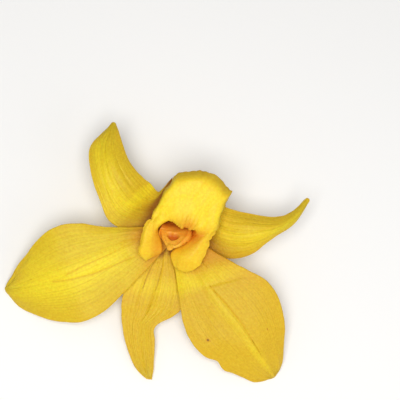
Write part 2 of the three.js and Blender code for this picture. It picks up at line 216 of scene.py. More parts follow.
# The lateral sepals start along the two sides of the column foot
sepalSeat = column["footWidth"] / 2 + 2 * gap
leftLateralSepal = {
    "length": 20.9, "width": 11, "heading": 118.9, "base": (0.3 - sepalSeat, 6.4, -3.4),
    "left": [
        (-0.17, 0.22, 1.2), (-0.09, 0.66, 1.8), (0.12, 0.98, 3), (0.39, 0.94, 3.8), (0.67, 0.84, 3.4),
        (0.9, 0.6, 1.6), (1, 0.03, -1),
    ],
    "middle": [
        (0, 0, 0), (0.08, 0.25, 0.8), (0.22, 0.43, 2.8), (0.42, 0.48, 4.4), (0.64, 0.44, 4.2),
        (0.83, 0.33, 2.2), (1.01, 0, -1.2),
    ],
    "right": [
        (0.2, -0.41, -0.8), (0.15, -0.13, 0), (0.27, -0.06, 1.2), (0.37, 0.02, 2.2), (0.55, 0.09, 2.2),
        (0.76, 0.05, 1), (0.99, -0.03, -1.2),
    ],
    "veins": 15, "veinRelief": 0.03, "midribRelief": -0.1, "midribWidth": 0.04,
    "dents": 0.18, "ripple": 0.12, "seed": 11,
    "creases": [
        {"line": [(0.1, 0.1), (0.36, 0.25), (0.56, 0.2), (0.78, 0.05), (0.97, 0.0)],
         "height": -0.16, "width": 0.35},
        {"line": [(0.12, 0.5), (0.4, 0.62), (0.7, 0.4), (0.9, 0.2)], "height": -0.1, "width": 0.35},
        {"line": [(0.2, -0.4), (0.45, -0.35), (0.7, -0.4)], "height": -0.1, "width": 0.35},
    ],
    "notches": [],
    # This fold's pale is a painted highlight where the sepal faces the light
    "fold": {"at": 0.38, "slant": 0.0, "height": 0.2, "fade": 0.15, "pale": 0.9},
    "creaseShadeLines": [],
    "specks": [],
    "paleAndLitBand": {"across": 0.35, "width": 0.45, "strength": 0.6},
    "blushAndShade": 0.28, "gold": 0.1, "slant": 0.65, "shade": 0.1,
}
rightLateralSepal = {
    "length": 26.1, "width": 11, "heading": 4.1, "base": (0.3 + sepalSeat, 6.4, -3.4),
    "left": [
        (-0.03, 0.46, -1), (0.12, 0.29, 0.2), (0.31, -0.04, 1.8), (0.5, -0.19, 2.6), (0.71, -0.31, 2),
        (0.86, -0.22, 0.8), (0.99, 0.03, -0.4),
    ],
    "middle": [
        (0, 0, 0), (0.14, -0.19, 1), (0.31, -0.44, 3), (0.5, -0.53, 4.2), (0.7, -0.52, 3.6),
        (0.86, -0.35, 1.8), (1.01, 0, -0.6),
    ],
    "right": [
        (0, -0.4, 1.2), (0.12, -0.77, 1.4), (0.28, -1.03, 1.8), (0.48, -1.01, 2.4), (0.69, -0.7, 2.4),
        (0.87, -0.46, 1), (1, -0.05, -0.8),
    ],
    "veins": 15, "veinRelief": 0.03, "midribRelief": -0.1, "midribWidth": 0.04,
    "dents": 0.18, "ripple": 0.12, "seed": 14,
    "creases": [
        {"line": [(0.3, -0.2), (0.43, -0.2), (0.6, -0.05), (0.8, 0.0), (0.97, 0.0)],
         "height": -0.16, "width": 0.35},
        {"line": [(0.3, 0.3), (0.5, 0.35), (0.72, 0.4)], "height": -0.1, "width": 0.35},
        {"line": [(0.35, -0.6), (0.5, -0.55), (0.7, -0.5)], "height": -0.08, "width": 0.3},
    ],
    "notches": [],
    "creaseShadeLines": [],
    "specks": [],
    "paleAndLitBand": {"across": -0.25, "width": 0.35, "strength": 0.6},
    "blushAndShade": 0.33, "gold": 0.5, "slant": -0.95, "shade": 0.15,
}


def tepalRails(organ):
    turn = math.radians(organ["heading"])
    ahead = np.array([math.cos(turn), math.sin(turn), 0])
    leftward = np.array([-ahead[1], ahead[0], 0])
    if "base" in organ:
        base = np.array(organ["base"])
    else:
        hub = np.array([*column["hub"], organ["level"]])
        base = hub + ahead * (column["hubRadius"] + gap) + leftward * organ["aside"]
    rails = []
    for side in ("right", "middle", "left"):
        along, across, up = np.array(organ[side], float).T
        rail = base + np.outer(along * organ["length"], ahead) + np.outer(across * organ["width"], leftward)
        rails.append(rail + np.outer(up, (0, 0, 1)))
    return rails


# The lip's rails run from the end of the left side lobe, over the mid-lobe, to the end of the right one.
# backEdge and throatRim are (share of throat, y, z); hollow and margin are (share of width, of height, z).
lip = {
    "width": 19.2, "height": 22.2, "throat": column["width"] / 2 + 3.5 * gap,
    "backEdge": [
        (-1.25, -5.6, 1.7), (-1.05, -3.6, 1.8), (-0.9, -1.4, 1.5), (-0.86, 0.8, 0.9), (-0.86, 3, -0.2),
        (-0.76, 4.8, -1.5), (-0.4, 6.4, -2.4), (-0.03, 7, -2.9), (0.33, 7, -2.9), (0.72, 6.2, -2.5),
        (1.02, 5, -1.8), (1.12, 3.2, -0.7), (1.08, 1.2, 0.5), (1.04, -0.6, 1.3), (0.95, -2.4, 1.6),
        (0.72, -3.9, 1.8), (0.5, -6, 1.9),
    ],
    "throatRim": [
        (-1.36, -6, 2), (-1.06, -3.9, 2.9), (-0.86, -1.3, 3.5), (-0.88, 0.6, 4), (-0.86, 2, 4.4),
        (-0.61, 3.1, 4.7), (-0.28, 3.9, 5.1), (0.08, 3.8, 5.4), (0.53, 3, 5.5), (0.94, 2.6, 5.4),
        (1.28, 2.2, 5.3), (1.5, 1.8, 5.2), (1.5, 1, 5.2), (1.2, 0.2, 5.2), (0.66, -1.7, 5.4),
        (0.2, -3.6, 4.5), (0.28, -6.6, 2.7),
    ],
    "hollow": [
        (-0.27, -0.28, 2.2), (-0.28, -0.19, 3.6), (-0.25, -0.06, 4.2), (-0.23, 0.05, 4.6), (-0.21, 0.14, 5),
        (-0.15, 0.22, 5.5), (-0.06, 0.31, 6.2), (0.05, 0.39, 6.6), (0.21, 0.4, 6.6), (0.33, 0.35, 6.3),
        (0.41, 0.27, 5.8), (0.42, 0.18, 5.6), (0.4, 0.07, 5.3), (0.33, -0.02, 5.2), (0.26, -0.12, 5.2),
        (0.19, -0.22, 4.6), (0.12, -0.32, 2.9),
    ],
    "margin": [
        (-0.28, -0.3, 2.4), (-0.36, -0.2, 3.6), (-0.35, -0.07, 4.2), (-0.31, 0.06, 4.8), (-0.26, 0.16, 5),
        (-0.18, 0.25, 5.5), (-0.06, 0.41, 6.2), (0.05, 0.59, 6.8), (0.31, 0.64, 7), (0.52, 0.56, 6.6),
        (0.62, 0.41, 5.6), (0.57, 0.25, 5.2), (0.53, 0.07, 4.6), (0.43, -0.04, 4.2), (0.39, -0.15, 4.2),
        (0.32, -0.28, 3.8), (0.17, -0.36, 2.8),
    ],
}


def lipRails():
    inThroat = np.array([lip["throat"], 1, 1])
    inLobes = np.array([lip["width"], lip["height"], 1])
    rails = [np.array(lip[name], float) * inThroat for name in ("backEdge", "throatRim")]
    return rails + [np.array(lip[name], float) * inLobes for name in ("hollow", "margin")]


tepals = {
    "dorsal_sepal": dorsalSepal,
    "left_lateral_sepal": leftLateralSepal,
    "right_lateral_sepal": rightLateralSepal,
    "left_petal": leftPetal,
    "right_petal": rightPetal,
}


# Middle of a sheet, each part of it counting by its area
def sheetCentre(grid):
    a, b, c, d = grid[:-1, :-1], grid[1:, :-1], grid[1:, 1:], grid[:-1, 1:]
    area = np.linalg.norm(np.cross(c - a, d - b), axis=-1)[..., None]
    return ((a + b + c + d) / 4 * area).sum((0, 1)) / area.sum()


def packedCentre(name):
    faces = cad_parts[name].data.polygons
    centres, areas = np.zeros(len(faces) * 3), np.zeros(len(faces))
    faces.foreach_get("center", centres)
    faces.foreach_get("area", areas)
    return areas @ centres.reshape(-1, 3) / areas.sum()


# The turn and shift that take the bloom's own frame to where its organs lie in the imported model
def seatBloom():
    steps = np.linspace(0, 1, 41)
    rails = {name: tepalRails(organ) for name, organ in tepals.items()}
    rails["lip"] = lipRails()
    own = np.array([sheetCentre(railGrid(each, steps, steps)) for each in rails.values()]) * mm
    packed = np.array([packedCentre(name) for name in rails])
    left, _, right = np.linalg.svd((own - own.mean(0)).T @ (packed - packed.mean(0)))
    turn = (left @ np.diag([1, 1, np.sign(np.linalg.det(left @ right))]) @ right).T
    shift = packed.mean(0) - turn @ own.mean(0)
    error = np.linalg.norm(own @ turn.T + shift - packed, axis=1).max() / mm
    print(f"bloom seated on the packed organs to within {error:.3f} mm")
    return turn, shift


bloomTurn, bloomShift = seatBloom()


def toWorld(points):
    return np.asarray(points, float) * mm @ bloomTurn.T + bloomShift


# Makes a piece that stands for a packed organ; marks are vectors kept at its points for the materials
def addPiece(name, points, faces, marks, material):
    mesh = bpy.data.meshes.new(name)
    mesh.from_pydata(toWorld(points).tolist(), [], faces)
    for key, vectors in marks.items():
        attribute = mesh.attributes.new(key, "FLOAT_VECTOR", "POINT")
        attribute.data.foreach_set("vector", np.asarray(vectors, np.float32).ravel())
    mesh.polygons.foreach_set("use_smooth", np.ones(len(mesh.polygons), bool))
    mesh.materials.append(material)
    mesh.validate()
    mesh.update()
    piece = bpy.data.objects.new(name + "Shape", mesh)
    bpy.context.scene.collection.objects.link(piece)
    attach(piece, "root")
    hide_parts(name)
    return piece


# Quads of a closed sheet whose front and back are grids of the same size
def sheetFaces(rows, columns):
    index = np.arange(rows * columns).reshape(rows, columns)
    back = index + rows * columns

    def quads(a, b, c, d):
        return np.stack([a, b, c, d], -1).reshape(-1, 4)

    parts = [
        quads(index[:-1, :-1], index[1:, :-1], index[1:, 1:], index[:-1, 1:]),
        quads(back[:-1, :-1], back[:-1, 1:], back[1:, 1:], back[1:, :-1]),
        quads(index[:-1, 0], back[:-1, 0], back[1:, 0], index[1:, 0]),
        quads(index[:-1, -1], index[1:, -1], back[1:, -1], back[:-1, -1]),
        quads(index[0, :-1], index[0, 1:], back[0, 1:], back[0, :-1]),
        quads(index[-1, :-1], back[-1, :-1], back[-1, 1:], index[-1, 1:]),
    ]
    return np.concatenate(parts).tolist()


# Half thickness over a sheet: full in the middle, thin and rounded towards the margins
def sheetHalf(across, thickness, marginShare, edges):
    x = np.abs(2 * across - 1)
    half = thickness / 2 * (marginShare + (1 - marginShare) * (1 - x ** 3))
    for distance, edge in edges:
        near = np.clip(distance / edge, 0, 1)
        half = half * np.sqrt(np.clip(1 - (1 - near) ** 2, 0.02, 1))
    return half


# Distance in millimetres from each point of a flat map to a line of points
def distanceToLine(x, y, line):
    best = np.full(x.shape, 1e9)
    for (x0, y0), (x1, y1) in zip(line[:-1], line[1:]):
        run = max((x1 - x0) ** 2 + (y1 - y0) ** 2, 1e-9)
        t = np.clip(((x - x0) * (x1 - x0) + (y - y0) * (y1 - y0)) / run, 0, 1)
        best = np.minimum(best, np.hypot(x - x0 - t * (x1 - x0), y - y0 - t * (y1 - y0)))
    return best


# Height of the grown surface over the plain sheet, in millimetres along its normal
def tepalRelief(organ, u, v):
    x = 2 * v - 1
    alongMm, acrossMm = u * organ["length"], x * organ["width"] / 2
    seed = organ["seed"]
    fade = smoothStep(-0.05, 0.08, u) * (1 - smoothStep(0.93, 1.0, u))
    swing = 0.35 * softNoise(u * 5, v * 3 + 7, seed)
    veins = 0.4 * np.cos(2 * math.pi * (organ["veins"] * v + swing))
    veins = veins + softNoise(u * 6 + 40, (organ["veins"] * v + swing) * 2.3, seed + 1)
    height = organ["veinRelief"] * veins * fade
    height = height + organ["midribRelief"] * bump(x, 0, organ["midribWidth"] * 2) * fade
    height = height + organ["dents"] * softNoise(alongMm / 6, acrossMm / 5, seed + 2) * fade
    height = height + organ["dents"] * 0.35 * softNoise(alongMm / 2.5, acrossMm / 2, seed + 3) * fade
    edge = np.abs(x) ** 4
    waves = softNoise(u * 7 + 3 * np.sign(x), np.zeros_like(u) + 20.5 * np.sign(x), seed + 4)
    height = height + organ["ripple"] * waves * edge * fade
    if "fold" in organ:
        fold = organ["fold"]
        at = fold["at"] + fold["slant"] * x
        ridge = np.where(u < at, smoothStep(-1, 1, u / at) * 2 - 1, np.exp(-((u - at) / fold["fade"]) ** 2))
        height = height + fold["height"] * ridge
    for crease in organ["creases"]:
        line = [(p[0] * organ["length"], p[1] * organ["width"] / 2) for p in crease["line"]]
        away = distanceToLine(alongMm, acrossMm, line)
        height = height + crease["height"] * np.exp(-((away / crease["width"]) ** 2)) * fade
    return height


# Colour of a tepal as three shares, each partly the tissue's own colour and partly painted light: orange
# blush with painted shade, a pale lemon band with painted highlights, and deeper gold with painted shade
def tepalTint(organ, u, v):
    x = 2 * v - 1
    # The orange at the base is partly the tissue's own and partly painted shade: slant stretches it up the
    # side that lies in shadow under the lip
    reach = organ["blushAndShade"] * (1 + organ["slant"] * x)
    blushAndShade = 1 - smoothStep(reach * 0.2, reach, u + 0.05 * softNoise(u * 6, v * 6, 51))
    # shade pushes it past 1 close to the base, darkening it to brown: painted shade where the base lies deep
    # under the lip
    blushAndShade = blushAndShade * (1 + organ["shade"] * (1 - smoothStep(0, 0.14, u)))
    # Dark lines along the creases: painted shade in the folds
    for line in organ["creaseShadeLines"]:
        points = [(p[0] * organ["length"], p[1] * organ["width"] / 2) for p in line]
        away = distanceToLine(u * organ["length"], x * organ["width"] / 2, points)
        blushAndShade = np.maximum(blushAndShade, 0.55 * bump(away, 0, 0.22))
    for at, across, radius in organ["specks"]:
        away = np.hypot((u - at) * organ["length"], (x - across) * organ["width"] / 2)
        blushAndShade = np.maximum(blushAndShade, 2.2 * bump(away, 0, radius))  # past 1 the tissue turns dark
    # A paler stripe along the crest: partly lighter tissue, partly a painted highlight where the crest faces
    # the light
    paleAndLitBand = organ["paleAndLitBand"]
    pale = paleAndLitBand["strength"] * bump(x, paleAndLitBand["across"], paleAndLitBand["width"]) * smoothStep(0.05, 0.3, u)
    pale = pale * (1 - smoothStep(0.75, 1, u))
    # Just before a fold the surface is painted paler: a painted highlight where it faces the light
    if "fold" in organ:
        fold = organ["fold"]
        before = (fold["at"] + fold["slant"] * x - u) / 0.12
        lit = smoothStep(-0.15, 0.5, before) * (1 - smoothStep(0.7, 1.5, before))
        pale = np.maximum(pale, fold["pale"] * lit)
    # Deeper gold over some whole organs, such as the right petal, and towards the margins and the tip:
    # partly their own colour, partly painted shade where they turn from the light
    gold = organ["gold"] + (1 - organ["gold"]) * (np.abs(x) ** 3 * 0.5 + smoothStep(0.75, 1, u) * 0.3)
    return np.stack([blushAndShade, pale, gold], -1)


outsideColour = (0.35, 0.3, 1)  # share of blush, pale and gold that an organ's outside has


def sheetPiece(name, grid, half, u, place, tint, material):
    normals = gridNormals(grid)
    offset = normals * half[..., None]
    points = np.concatenate([(grid + offset).reshape(-1, 3), (grid - offset).reshape(-1, 3)])
    marks = {"place": np.tile(place.reshape(-1, 3), (2, 1)), "tint": np.tile(tint.reshape(-1, 3), (2, 1))}
    marks["place"][u.size:, 2] = 0
    marks["tint"][u.size:] *= outsideColour
    piece = addPiece(name, points, sheetFaces(*u.shape), marks, material)
    print("built", name, "with", len(points), "points")
    return piece


tepalSheet = {
    "start": -0.05,  # share of its length by which the base runs on into the column
    "thickness": 0.72, "marginShare": 0.4,  # in mm, and how much of it the margin keeps
    "sideEdge": 0.03, "tipEdge": 0.008,  # how far in the rounding of the margin reaches
    "raggedMm": 0.09, "raggedEvery": 1.3,  # how much the margin wanders, and over what length in mm
    "grids": {"petal": (230, 130), "sepal": (200, 110)},  # points along and across
}


def buildTepal(name, organ, material, slot):
    rows, columns = tepalSheet["grids"][slot]
    along = np.concatenate([np.linspace(tepalSheet["start"], 0.99, rows), [0.994, 0.998, 1]])
    across = marginShares(columns, 0.012)
    grid = railGrid(tepalRails(organ), along, across)
    u, v = np.meshgrid(along, across, indexing="ij")
    x = 2 * v - 1
    if "flatten" in organ:
        start, full, share = organ["flatten"]
        share = share * smoothStep(start, full, u)
        grid[..., 2] = grid[..., 2] * (1 - share) + grid[..., 2].mean(1)[:, None] * share
    inward = unit(np.gradient(grid, axis=1))
    for notch in organ["notches"]:
        reach = np.clip(x * notch["side"], 0, 1) ** 3
        pull = notch["depth"] * bump(u, notch["at"], notch["width"]) * reach
        grid = grid - inward * (notch["side"] * pull)[..., None]
    edgeRun = u * organ["length"] / tepalSheet["raggedEvery"]
    wander = softNoise(edgeRun, np.sign(x) * 9 + 30.5, organ["seed"] + 6)
    grid = grid + inward * (tepalSheet["raggedMm"] * wander * np.sign(x) * np.abs(x) ** 6)[..., None]
    grid = grid + gridNormals(grid) * tepalRelief(organ, u, v)[..., None]
    edges = [(1 - np.abs(x), tepalSheet["sideEdge"]), (1.0 - u, tepalSheet["tipEdge"])]
    half = sheetHalf(v, tepalSheet["thickness"], tepalSheet["marginShare"], edges)
    place = np.stack([u, x, np.ones_like(u)], -1)
    return sheetPiece(name, grid, half, u, place, tepalTint(organ, u, v), material)


lipDetail = {
    "veins": 46, "veinRelief": 0.02, "crimp": 0.3, "recurve": 1.2, "rimEdge": 0.15, "teeth": 0.9,
    "callus": [(0.5, 0.16), (0.535, 0.28), (0.562, 0.15), (0.6, 0.22)],  # ridges: where, height in mm
    "corners": [(0.628, 1.3, 0.016), (0.268, -0.7, 0.012), (0.812, -0.6, 0.012)],  # where, reach, width
    "thickness": 0.6, "rows": 390, "columns": 122,
    # How far points of the rails moved as the side lobes dried and drew in against the column, in mm
    "moves": {
        "backEdge": {
            0: (1.6, 2.3, -0.1), 1: (1.2, 1.3, -0.1), 2: (0.3, 0.8, 0), 14: (-0.3, 0.4, 0),
            15: (-1.5, 0.3, -0.1), 16: (-0.7, 0.1, 0),
        },
        "throatRim": {
            0: (1.9, 2.5, 0.3), 1: (1.5, 1.4, 0), 2: (0.5, 0.8, -0.3), 3: (0.15, 0.3, -0.2),
            6: (0.35, 0.05, 0), 7: (0.25, -0.15, 0), 8: (-0.1, -0.15, 0), 9: (-0.1, -0.15, 0),
            10: (-0.2, -0.05, -0.1), 11: (-0.3, -0.05, -0.2), 12: (-0.15, 0.1, -0.7), 13: (0.25, 0.1, -1.7),
            14: (0.15, 0.2, -2.3),
            15: (-0.6, 0.3, -1.5), 16: (-0.3, 0.4, -0.1),
        },
        "hollow": {
            0: (0, 1.6, 0.4), 1: (-0.6, 1, 0.5), 2: (-0.8, 0.4, 0.7), 3: (-0.5, 0.4, 0.6),
            4: (-0.1, 0.1, 0.2), 14: (-0.1, 0.25, -0.2), 15: (-0.25, 0.3, 0), 16: (-0.4, 0.2, 0.1),
        },
        "margin": {
            0: (0.1, 1.95, 0.2), 1: (-0.1, 1.25, 0.1), 2: (0.1, 0.65, 0), 3: (-0.1, 0.55, -0.1),
            4: (-0.1, 0.35, 0), 5: (-0.3, 0.15, 0), 6: (-0.85, 0.3, 0), 7: (-0.1, 0.05, 0),
            12: (-0.3, 0.15, 0), 13: (-0.05, 0.4, 0),
            14: (0, 0.9, 0), 15: (-0.25, 0.5, 0), 16: (-0.15, 0.65, 0),
        },
    },
}


def driedLipRails():
    rails = lipRails()
    for rail, moves in zip(rails, lipDetail["moves"].values()):
        for index, move in moves.items():
            rail[index] += move
    return rails


def lipShape(grid, u, v):
    outward = unit(np.gradient(grid, axis=1))
    midLobe = smoothStep(0.26, 0.34, u) * (1 - smoothStep(0.7, 0.78, u))
    rim = bump(v, 1 / 3, 0.028)
    overThroat = smoothStep(0.36, 0.47, u) * (1 - smoothStep(0.61, 0.67, u))
    teeth = np.abs(softNoise(u * 55, u * 0 + 3.5, 21)) + 0.3 * np.abs(softNoise(u * 130, u * 0 + 9.5, 22))
    shift = (lipDetail["rimEdge"] + lipDetail["teeth"] * (teeth - 0.4)) * rim * overThroat
    grid = grid + np.array([0, -0.9, 0.4]) * shift[..., None]
    near = smoothStep(0.6, 1, v)
    pull = lipDetail["crimp"] * softNoise(u * 34, v * 2 + 5, 23) * near * midLobe
    pull = pull + 0.12 * softNoise(u * 110, v * 2 + 9, 24) * smoothStep(0.9, 1, v)
    for at, reach, width in lipDetail["corners"]:
        pull = pull + reach * np.exp(-np.abs(u - at) / width) * near
    grid = grid + outward * pull[..., None]
    height = np.zeros_like(u)
    for at, tall in lipDetail["callus"]:
        run = smoothStep(0.32, 0.37, v) * (1 - smoothStep(0.42, 0.56, v))
        wobble = 0.006 * softNoise(v * 18, u * 0 + at * 90, 25)
        height = height + tall * bump(u + wobble, at, 0.011) * run
    height = height - lipDetail["recurve"] * smoothStep(0.82, 1.0, v) ** 2 * midLobe
    height = height + 0.35 * softNoise(u * 13, v * 4, 26) * smoothStep(0.4, 0.8, v) * midLobe
    height = height + 0.4 * softNoise(u * 30, v * 3 + 4, 27) * smoothStep(0.75, 1, v) * midLobe
    height = height - 0.45 * bump(u, 0.545, 0.02) * smoothStep(0.7, 0.95, v)
    height = height - 0.4 * bump(u, 0.775, 0.022) * smoothStep(0.4, 0.6, v)
    height = height - 0.25 * bump(u, 0.27, 0.02) * smoothStep(0.5, 0.8, v)
    rays = np.cos(2 * math.pi * (lipDetail["veins"] * u + 0.5 * softNoise(u * 12, v * 6, 28)))
    height = height + lipDetail["veinRelief"] * np.minimum(rays, 0.3) * smoothStep(0.45, 0.7, v)
    height = height + 0.12 * softNoise(u * 22, v * 9, 29) * smoothStep(0.34, 0.42, v)
    return grid + gridNormals(grid) * height[..., None]


# Colour of the lip: orange in the throat, on the callus and inside the side lobes, and gold on its margin,
# partly its own and partly painted shade where the margin curls back
def lipTint(u, v):
    midLobe = smoothStep(0.26, 0.34, u) * (1 - smoothStep(0.7, 0.78, u))
    callus = bump(u, 0.55, 0.06) * (1 - smoothStep(0.36, 0.56, v)) * 0.75
    throat = 1 - smoothStep(0.28, 0.335, v)
    left = (1 - smoothStep(0.2, 0.27, u)) * (1 - smoothStep(0.45, 0.6, v)) * 0.5
    right = bump(u, 0.81, 0.08) * (1 - smoothStep(0.4, 0.82, v))
    blushAndShade = np.maximum(np.maximum(throat, callus), np.maximum(left, right))
    pale = (0.25 + 0.75 * midLobe) * smoothStep(0.36, 0.5, v) * (1 - smoothStep(0.8, 1, v))
    # Gold on the mid-lobe's margin: partly painted shade where it curls back
    gold = smoothStep(0.8, 1, v) * midLobe
    return np.stack([blushAndShade, pale, gold], -1)


def buildLip(material):
    along = np.linspace(0, 1, lipDetail["rows"])
    # A few lines close to the margin round it
    across = np.concatenate([np.linspace(0, 0.985, lipDetail["columns"]), [0.992, 0.997, 1]])
    grid = railGrid(driedLipRails(), along, across)
    u, v = np.meshgrid(along, across, indexing="ij")
    grid = lipShape(grid, u, v)
    margin = np.clip((1 - v) / 0.02, 0, 1)
    half = lipDetail["thickness"] / 2 * np.sqrt(np.clip(1 - (1 - margin) ** 2, 0.03, 1))
    half = half * (0.5 + 0.5 * (1 - v ** 4))
    half = half * np.sqrt(np.clip(np.minimum(u, 1 - u) / 0.01, 0.05, 1))
    place = np.stack([u, v, np.ones_like(u)], -1)
    return sheetPiece("lip", grid, half, u, place, lipTint(u, v), material)


# A closed body along a spine; outline gives its points across the spine at each share and angle
def spineBody(spine, steps, sides, outline):
    shares = np.linspace(0, 1, steps + 1)
    centre = smoothCurve(spine, shares)
    along = unit(np.gradient(centre, axis=0))
    across = unit(np.array([1.0, 0, 0]) - along * along[:, :1])
    out = np.cross(along, across)
    angles = np.linspace(0, 2 * math.pi, sides, endpoint=False)
    t, angle = np.meshgrid(shares, angles, indexing="ij")
    width, depth = outline(t, angle)
    rings = centre[:, None] + across[:, None] * width[..., None] + out[:, None] * depth[..., None]
    points = np.concatenate([rings.reshape(-1, 3), centre[:1], centre[-1:]])
    index = np.arange((steps + 1) * sides).reshape(steps + 1, sides)
    after = np.roll(index, -1, axis=1)
    quads = np.stack([index[:-1], after[:-1], after[1:], index[1:]], -1).reshape(-1, 4).tolist()
    first, last = len(points) - 2, len(points) - 1
    caps = [(int(b), int(a), first) for a, b in zip(index[0], after[0])]
    caps += [(int(a), int(b), last) for a, b in zip(index[-1], after[-1])]
    place = np.stack([t.ravel(), np.sin(angle).ravel(), np.cos(angle).ravel()], 1)
    return points, quads + caps, np.concatenate([place, [(0, 0, 0), (1, 0, 0)]])


columnShape = {
    "spine": [
        (0.2, 0.4, -3.4), (0.2, 0.4, -1.6), (0.25, 0.8, 0.4), (0.75, 0.6, 2.4), (0.2, -0.7, 4),
        (-0.3, -1.75, 4.9),
    ],
    "widths": [2.3, 2.3, 2.6, 3.55, 2.4, 1.0],  # half widths in mm at even steps of the spine
    "fronts": [1.5, 2.2, 3.2, 1.8, 0.7, 0.4],  # depth of the side that faces the lip
    "backs": [2.0, 1.76, 1.6, 1.3, 0.8, 0.4],
    "foot": [(0.3, 0.8, -1.9), (0.3, 3.6, -2.9), (0.3, 6.6, -4.4), (0.4, 9.6, -5.2)],
    "grid": (170, 160), "footGrid": (60, 48),  # steps along and around
    "stigma": {"at": 0.72, "depth": 0.75, "length": 0.08, "width": 1.4, "aside": 0.25},
}


# Share of the heart-shaped stigma over the face of the column
def stigmaShare(t, across):
    stigma = columnShape["stigma"]
    sideways = np.abs((across + stigma["aside"]) / stigma["width"])
    down = (t - stigma["at"]) / stigma["length"]
    return 1 - smoothStep(0.55, 1.1, np.hypot(sideways, down + 0.5 * sideways - 0.2))


def buildColumn(material):
    def stem(t, angle):
        curves = [columnShape[name] for name in ("widths", "fronts", "backs")]
        width, front, back = (smoothCurve(curve, t.ravel()).reshape(t.shape) for curve in curves)
        side, rise = np.cos(angle), np.sin(angle)
        face = smoothStep(0, 0.3, rise)
        winged = smoothStep(0.3, 0.5, t) * (1 - smoothStep(0.9, 1, t))
        boxy = np.maximum(rise, 0) ** (1 - 0.6 * winged)
        dished = 1 - 0.3 * winged * (1 - side ** 2)
        rimmed = 0.22 * winged * face * bump(np.abs(side), 0.84, 0.13)
        depth = np.where(rise > 0, front * boxy * dished, back * rise)
        pit = columnShape["stigma"]["depth"] * stigmaShare(t, width * side) * face
        rough = 0.05 * softNoise(t * 26, angle * 3, 31)
        return width * side, depth + rimmed - pit + rough

    def foot(t, angle):
        width = column["footWidth"] / 2 * (1 - 0.45 * t ** 3)
        depth = column["footThickness"] / 2 * (1 - 0.4 * t ** 3)
        return width * np.cos(angle), depth * np.sin(angle)

    points, faces, place = spineBody(columnShape["spine"], *columnShape["grid"], stem)
    t = place[:, 0]
    width = smoothCurve(columnShape["widths"], t)
    pit = stigmaShare(t, width * place[:, 2]) * smoothStep(0, 0.3, place[:, 1])
    # Deeper orange low in the throat, under the rim: partly the column's own colour, partly painted shade
    deep = bump(t, 0.45, 0.16) * smoothStep(0, 0.3, place[:, 1])
    blushAndShade = np.maximum(pit, 0.8 * deep)
    tint = np.stack([blushAndShade, smoothStep(0.75, 1, t), 1 - smoothStep(0.1, 0.3, t)], -1)
    footPoints, footFaces, footPlace = spineBody(columnShape["foot"], *columnShape["footGrid"], foot)
    footTint = np.tile([(0.0, 0.0, 1.0)], (len(footPoints), 1))
    faces = faces + [tuple(i + len(points) for i in face) for face in footFaces]
    points = np.concatenate([points, footPoints])
    marks = {"place": np.concatenate([place, footPlace]), "tint": np.concatenate([tint, footTint])}
    print("built column with", len(points), "points")
    return addPiece("column", points, faces, marks, material)


cap = {"radius": 0.76, "flatness": 0.75, "reach": 0.95, "groove": 0.15, "grid": (36, 48)}


def buildCap(material):
    tip, before = smoothCurve(columnShape["spine"], [1.0, 0.97])
    lean = unit(tip - before)
    line = [tip + lean * reach * cap["reach"] for reach in (-0.35, 0.1, 0.55, 1.0)]

    def dome(t, angle):
        radius = cap["radius"] * np.sqrt(np.clip(1 - t ** 2.6, 0.002, 1))
        groove = 1 - cap["groove"] * bump(np.cos(angle), 0, 0.15) * (np.sin(angle) > 0)
        return radius * np.cos(angle) * groove, cap["flatness"] * radius * np.sin(angle) * groove

    points, faces, place = spineBody(line, *cap["grid"], dome)
    marks = {"place": place, "tint": np.zeros((len(points), 3))}
    return addPiece("anther_cap", points, faces, marks, material)


stalk = {
    "spine": [
        (0.2, 0.4, -1.7), (0.2, 0.4, -3.6), (0.25, 0.5, -5.5), (0.8, 1.6, -7.8), (2, 4.4, -10.8),
        (3.4, 8, -12.7), (5, 11.9, -13.6),
    ],
    "widths": [5.2, 5.0, 3.9, 3.5, 2.9, 2.6, 2.7],
    "ribs": 6, "ribDepth": 0.07, "grid": (180, 64),
}


def buildStalk(material):
    def section(t, angle):
        radius = smoothCurve(stalk["widths"], t.ravel()).reshape(t.shape) / 2
        ribs = 1 + stalk["ribDepth"] * np.cos(stalk["ribs"] * angle + 2 * t) * smoothStep(0.15, 0.3, t)
        ribs = ribs + 0.03 * softNoise(t * 14, angle * 4, 41) + 0.015 * softNoise(t * 50, angle * 12, 42)
        ribs = ribs * (1 - 0.35 * smoothStep(0.985, 1, t) ** 2)
        return radius * ribs * np.cos(angle), radius * ribs * np.sin(angle)

    points, faces, place = spineBody(stalk["spine"], *stalk["grid"], section)
    t = place[:, 0]
    tint = np.stack([1 - smoothStep(0.1, 0.35, t), np.zeros(len(points)), smoothStep(0.99, 1, t)], -1)
    marks = {"place": place, "tint": tint}
    print("built pedicel with", len(points), "points")
    return addPiece("pedicel", points, faces, marks, material)


def linear(code):
    channels = [int(code[i:i + 2], 16) / 255 for i in (1, 3, 5)]
    return [c / 12.92 if c <= 0.04045 else ((c + 0.055) / 1.055) ** 2.4 for c in channels] + [1.0]


def addNode(tree, kind, inputs, **settings):
    node = tree.nodes.new("ShaderNode" + kind)
    for key, value in settings.items():
        setattr(node, key, value)
    for key, value in inputs.items():
        if isinstance(value, bpy.types.NodeSocket):
            tree.links.new(value, node.inputs[key])
        else:
            node.inputs[key].default_value = value
    return node


def newMaterial(name):
    material = bpy.data.materials.new(name)
    material.use_nodes = True
    tree = material.node_tree
    tree.nodes.clear()
    return material, tree


def mixColours(tree, share, first, second, how="MIX"):
    node = addNode(tree, "Mix", {0: share, 6: first, 7: second}, data_type="RGBA", blend_type=how)
    return node.outputs[2]


# Cell walls with a thin coat of wax: 1.4 is usual for them. Light comes back warmer than it went in.
tissue = {"ior": 1.4, "specular": 0.35, "glow": (1.0, 0.55, 0.1), "glowMm": 0.7, "bumpMm": 0.1}
